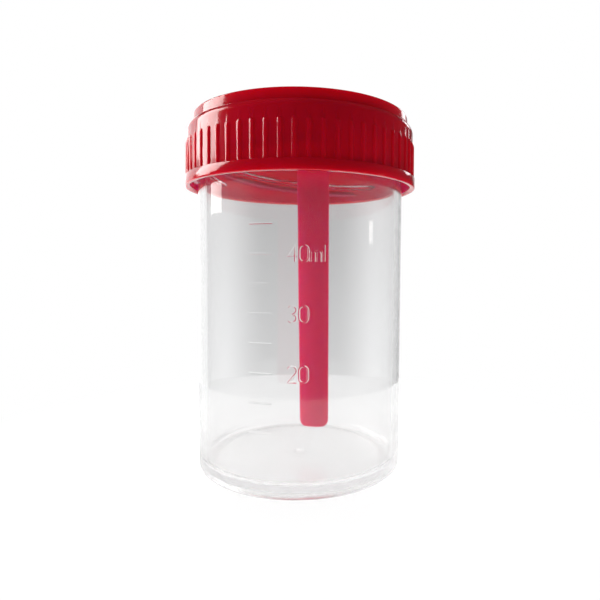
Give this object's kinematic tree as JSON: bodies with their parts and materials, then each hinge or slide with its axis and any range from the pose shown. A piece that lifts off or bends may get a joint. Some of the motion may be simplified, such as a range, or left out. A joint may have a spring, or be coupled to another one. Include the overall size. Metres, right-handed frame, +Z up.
{
  "type": "specimen container",
  "caption": "Small clear screw-top specimen jar with moulded graduations and a red ribbed screw cap that carries a long gutter-shaped scoop hanging inside.",
  "frame": {"origin": "centre of the jar's foot, on the surface it stands on", "axes": "+Z up along the jar's axis, -Y out of the graduated side, +X to the right when facing the graduations"},
  "size_m": [0.044, 0.044, 0.066],
  "materials": {
    "jar": "clear, slightly milky moulded polypropylene, smooth and glossy",
    "cap": "opaque red moulded plastic, glossy"
  },
  "bodies": {
    "jar": {"jar": "jar"},
    "cap": {"cap": "cap"}
  },
  "joints": [
    {"name": "cap_lift", "type": "slide", "parent": "jar", "child": "cap", "axis": [0, 0, 1], "range_m": [0, 0.065]}
  ]
}
